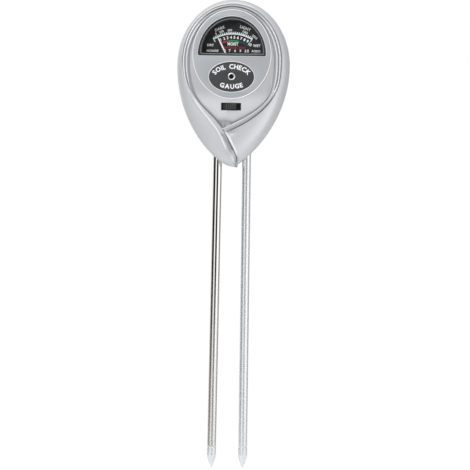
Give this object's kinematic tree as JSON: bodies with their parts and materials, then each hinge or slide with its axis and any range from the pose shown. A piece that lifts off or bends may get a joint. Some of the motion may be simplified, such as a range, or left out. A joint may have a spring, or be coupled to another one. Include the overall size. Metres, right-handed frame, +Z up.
{
  "type": "soil moisture meter",
  "caption": "Leaf-shaped soil meter with a D-shaped dial window, a needle, a slide switch and a pair of metal probes for moisture, light and pH.",
  "frame": {"origin": "midway between the two probe points, at their level", "axes": "+Z up along the probes towards the head, -Y out of the dial's face, +X to the right of someone who reads the dial"},
  "size_m": [0.067, 0.0288, 0.28],
  "materials": {
    "silver_paint": "silver metallic paint on moulded plastic, satin",
    "fascia_grey": "fine-textured silver print on a thin plate",
    "badge_dark": "charcoal textured plate",
    "frame_dark": "dark grey moulded frame",
    "clear_plastic": "clear acrylic",
    "dial_black": "matt black printed card",
    "needle_white": "white painted strip",
    "black_plastic": "moulded",
    "nickel_bright": "bright nickel plate",
    "aluminium_satin": "satin drawn",
    "steel": "plain",
    "brass": "plain",
    "copper_wire": "wound enamelled wire",
    "magnet_grey": "sintered magnet",
    "board_laminate": "paper laminate",
    "cell_dark": "dark glass-fronted cell",
    "resistor_tan": "lacquered",
    "lead_red": "insulated wire",
    "lead_black": "insulated wire"
  },
  "bodies": {
    "head": {"front_cover": "silver_paint", "rear_cover": "silver_paint", "cover_screw_1": "steel", "cover_screw_2": "steel", "cover_screw_3": "steel", "fascia_plate": "fascia_grey", "badge": "badge_dark", "sensor_ring": "aluminium_satin", "light_cell": "cell_dark", "window_frame": "frame_dark", "window_lens": "clear_plastic", "dial_plate": "dial_black", "dial_screw_left": "brass", "dial_screw_right": "brass", "front_hairspring": "brass", "rear_hairspring": "brass", "magnet_core": "magnet_grey", "yoke_ring": "steel", "movement_frame": "black_plastic", "front_bridge": "brass", "rear_bridge": "brass", "front_jewel_screw": "brass", "rear_jewel_screw": "brass", "front_bridge_screw_left": "steel", "front_bridge_screw_right": "steel", "rear_bridge_screw_lower": "steel", "rear_bridge_screw_upper": "steel", "movement_screw_left": "steel", "movement_screw_right": "steel", "switch_can": "steel", "switch_base": "resistor_tan", "circuit_board": "board_laminate", "moisture_resistor": "resistor_tan", "light_resistor": "resistor_tan", "board_screw_left": "steel", "board_screw_right": "steel", "probe_holder": "black_plastic", "probe_tube_left": "nickel_bright", "probe_tube_right": "aluminium_satin", "probe_tip_left": "aluminium_satin", "probe_tip_right": "aluminium_satin", "terminal_tag_left": "brass", "terminal_tag_right": "brass", "terminal_screw_left": "steel", "terminal_screw_right": "steel", "probe_lead_left": "lead_red", "probe_lead_right": "lead_black", "cell_lead_left": "lead_red", "cell_lead_right": "lead_black", "coil_lead_left": "lead_red", "coil_lead_right": "lead_black"},
    "needle": {"needle": "needle_white", "balance_weight": "brass", "front_pivot": "steel", "rear_pivot": "steel", "coil_former": "aluminium_satin", "coil_winding": "copper_wire"},
    "selector": {"switch_knob": "black_plastic", "switch_contact": "brass"}
  },
  "joints": [
    {"name": "needle_swing", "type": "hinge", "parent": "head", "child": "needle", "pos_m": [0, 0, 0.2392], "axis": [0, 1, 0], "range_deg": [-8.8, 61.2], "stiffness_Nm_per_rad": 0.00006},
    {"name": "selector_slide", "type": "slide", "parent": "head", "child": "selector", "axis": [1, 0, 0], "range_m": [-0.0027, 0.0027]}
  ]
}
